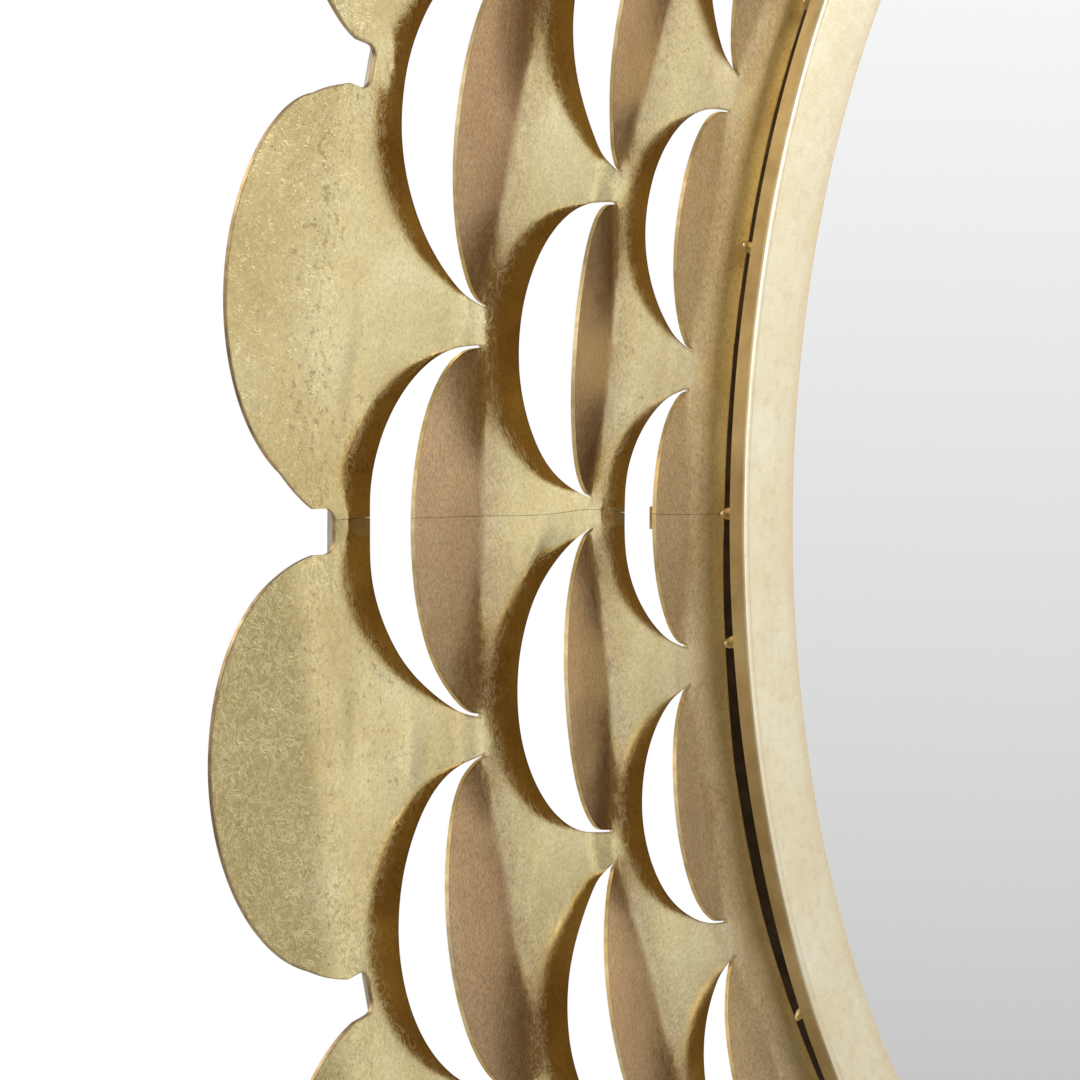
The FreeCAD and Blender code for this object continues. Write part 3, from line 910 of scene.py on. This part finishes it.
def show_panels():
    """Four scale panels, from the upper right anticlockwise."""
    plan, tris = flat_pattern()
    outline = edges_of(tris)
    for i, quarter in enumerate(("upper_right", "upper_left", "lower_left", "lower_right")):
        name = "leaf_panel_" + quarter
        mesh = coated(panel_mesh(name, plan, tris, outline, panel_angle * i), leaf, shaded_bronze, edge, brown_edge)
        shown(name, mesh, "gold_leaf", "mirror", "scale_panel_" + quarter)


def show_rim():
    """Angle ring with a rounded flange. Its outer side and its leg have finishes of their own: a darker gold
    on the outer side and a near-black on the leg, both painted shade.
    """
    inner_corner = (rim_opening_r + rim_inner_round, rim_front_y + rim_inner_round)
    outer_corner = (rim_flange_r - rim_outer_round, rim_front_y + rim_outer_round)
    profile = [(rim_leg_inner_r, 0.0), (rim_leg_inner_r, flange_back_y), (rim_opening_r, flange_back_y)]
    profile += rounded(inner_corner, rim_inner_round, math.pi, 1.5 * math.pi)
    profile += rounded(outer_corner, rim_outer_round, 1.5 * math.pi, 2 * math.pi)
    profile += [(rim_flange_r, flange_back_y), (rim_leg_r, flange_back_y)]
    profile += [(rim_leg_r, sheet_front_y), (rim_leg_r, 0.0)]
    mesh = coated(lathe("rim_ring", profile), rim_leaf, shaded_rim_side, leg_black)
    side_from_y = rim_front_y + rim_outer_round / 2
    side_to_y = flange_back_y - rim_inner_round
    for face in mesh.polygons:
        radius = math.hypot(face.center.x, face.center.z)
        if face.center.y > sheet_front_y:
            face.material_index = rim_leg_slot
        elif side_from_y < face.center.y < side_to_y and radius > rim_leg_inner_r:
            face.material_index = rim_side_slot
    shown("rim_ring", mesh, "rim_gold", "mirror", "rim")


def show_glass():
    """Round mirror plate."""
    profile = [(0.0, glass_back_y), (glass_r, glass_back_y), (glass_r, glass_front_y), (0.0, glass_front_y)]
    mesh = coated(lathe("mirror_plate", profile, closed=False), silver)
    shown("mirror_plate", mesh, "mirror", "mirror", "mirror_glass")


def show_hoop():
    """Round rod that lies behind the sheet."""
    hoop_y = sheet_front_y + sheet_t + hoop_rod_r
    profile = [
        (hoop_r + hoop_rod_r * math.cos(a), hoop_y + hoop_rod_r * math.sin(a))
        for a in np.linspace(0, 2 * math.pi, hoop_sides, endpoint=False)
    ]
    shown("edge_rod", coated(lathe("edge_rod", profile), iron), "hoop_iron", "mirror", "edge_hoop")


def show_rim_welds():
    """Flat beads between the sheet's inner edge and the rim."""
    stretch = Matrix.Diagonal((weld_reach, weld_h, weld_half_w, 1))
    out = Matrix.Translation((weld_r, sheet_front_y, 0))
    beads = bmesh.new()
    for i in range(tack_count):
        deg = 360 * i / tack_count
        turn = math.radians(deg + weld_shifts_deg.get(deg, 0))
        lie = Matrix.Rotation(-turn, 4, "Y") @ out @ stretch
        bmesh.ops.create_uvsphere(beads, u_segments=bead_sides, v_segments=bead_rings, radius=1, matrix=lie)
    mesh = bpy.data.meshes.new("rim_welds")
    beads.to_mesh(mesh)
    beads.free()
    shown("rim_welds", coated(mesh, edge), "rim_gold", "mirror", "rim_tack_welds")


def dress_nodes():
    """Finishes on the CAD nodes that are shown as they are."""
    for name, node in nodes.items():
        for name_start, material in node_materials.items():
            if name.startswith(name_start):
                node.data.materials.clear()
                node.data.materials.append(material)


def place_camera():
    """Camera at the eye, turned to the aim and rolled about that line."""
    roll = math.radians(roll_deg)
    forward = (aim - eye).normalized()
    level = forward.cross(Vector((0, 0, 1))).normalized()
    rise = level.cross(forward)
    right = math.cos(roll) * level + math.sin(roll) * rise
    up = -math.sin(roll) * level + math.cos(roll) * rise
    camera = bpy.data.objects.new("camera", bpy.data.cameras.new("camera"))
    camera.data.sensor_width = sensor_w
    camera.data.lens = focal_pixels * sensor_w / image_size
    camera.matrix_world = Matrix.Translation(eye) @ Matrix((right, up, -forward)).transposed().to_4x4()
    scene.collection.objects.link(camera)
    scene.camera = camera


def lay_floor():
    """Pale round floor below the mirror."""
    turns = np.linspace(0, 2 * math.pi, floor_sides, endpoint=False)
    corners = [(floor_r * math.cos(t), floor_r * math.sin(t), floor_z) for t in turns]
    mesh = bpy.data.meshes.new("floor")
    mesh.from_pydata(corners, [], [range(floor_sides)])
    floor = bpy.data.objects.new("floor", coated(mesh, floor_paint))
    scene.collection.objects.link(floor)


class Room(Nodes):
    """World under construction, shaded by direction."""

    def __init__(self, name):
        self.world = bpy.data.worlds.new(name)
        self.world.use_nodes = True
        super().__init__(self.world.node_tree)
        self.background = self.tree.nodes["Background"].inputs
        self.direction = self.add("TexCoord").outputs["Generated"]
        self.parts = self.add("SeparateXYZ", Vector=self.direction).outputs

    def glow(self, toward, from_dot, to_dot, gain):
        """Soft pale patch of the room around a direction."""
        dot = self.add("VectorMath")
        dot.operation = "DOT_PRODUCT"
        self.set(dot.inputs[0], self.direction)
        self.set(dot.inputs[1], Vector(toward).normalized())
        near = dot.outputs["Value"]
        patch = self.add("MapRange", Value=near, From_Min=from_dot, From_Max=to_dot, To_Max=gain)
        patch.interpolation_type = "SMOOTHSTEP"
        return patch.outputs["Result"]


def light_room():
    """White behind the object, and a softly shaded white room for everything that mirrors it."""
    n = Room("room")
    depth, height = n.parts["Y"], n.parts["Z"]
    left_patch = n.glow((-0.97, -0.26, 0), 0.60, 0.93, 0.55)
    walls = n.glow((math.sin(key_angle), -math.cos(key_angle), 0.1), 0.86, 0.985, 0.55)
    added = (
        n.math("MULTIPLY", left_patch, n.remap(height, -0.35, 0.35, 0.40, 1.20)),
        n.glow((-0.5, -0.87, 0), 0.35, 0.85, 0.40),
        n.glow((-0.45, -0.70, 0.56), 0.93, 0.985, 2.4),
        n.glow((-0.69, 0.6, 0.45), 0.80, 0.97, 0.7),
        wall_level,
    )
    for level in added:
        walls = n.math("ADD", walls, level)
    beside_front = n.remap(depth, -0.585, -0.5625, 0.0, 1.0)
    shade = n.blend(beside_front, front_level, n.remap(height, -0.143, 0.071, 0.58, 0.93))
    right_side = n.glow((math.sin(side_angle), -math.cos(side_angle), 0), 0.89, 0.975, 1.0)
    side = n.remap(height, -0.06, 0.01, 0.60, 1.15)
    room = n.blend(right_side, n.math("MULTIPLY", shade, walls), side)
    path = n.add("LightPath").outputs
    mirrored = n.math("MAXIMUM", path["Is Glossy Ray"], path["Is Transmission Ray"])
    lit = n.blend(mirrored, diffuse_level, room)
    n.set(n.background["Strength"], n.blend(path["Is Camera Ray"], lit, 1.0))
    browned = n.math("MULTIPLY", right_side, mirrored)
    n.set(n.background["Color"], n.mix(browned, (1.0, 1.0, 1.0), (1.0, 0.74, 0.60)))
    scene.world = n.world


def hang_lamp(name, place, size, power):
    """Square area lamp that faces the middle of the mirror."""
    data = bpy.data.lights.new(name, "AREA")
    data.size = size
    data.energy = power
    obj = bpy.data.objects.new(name, data)
    obj.location = place
    obj.rotation_euler = (-Vector(place)).to_track_quat("-Z", "Y").to_euler()
    scene.collection.objects.link(obj)


show_panels()
show_rim()
show_glass()
show_hoop()
show_rim_welds()
dress_nodes()
place_camera()
lay_floor()
light_room()
for lamp in lamps:
    hang_lamp(*lamp)
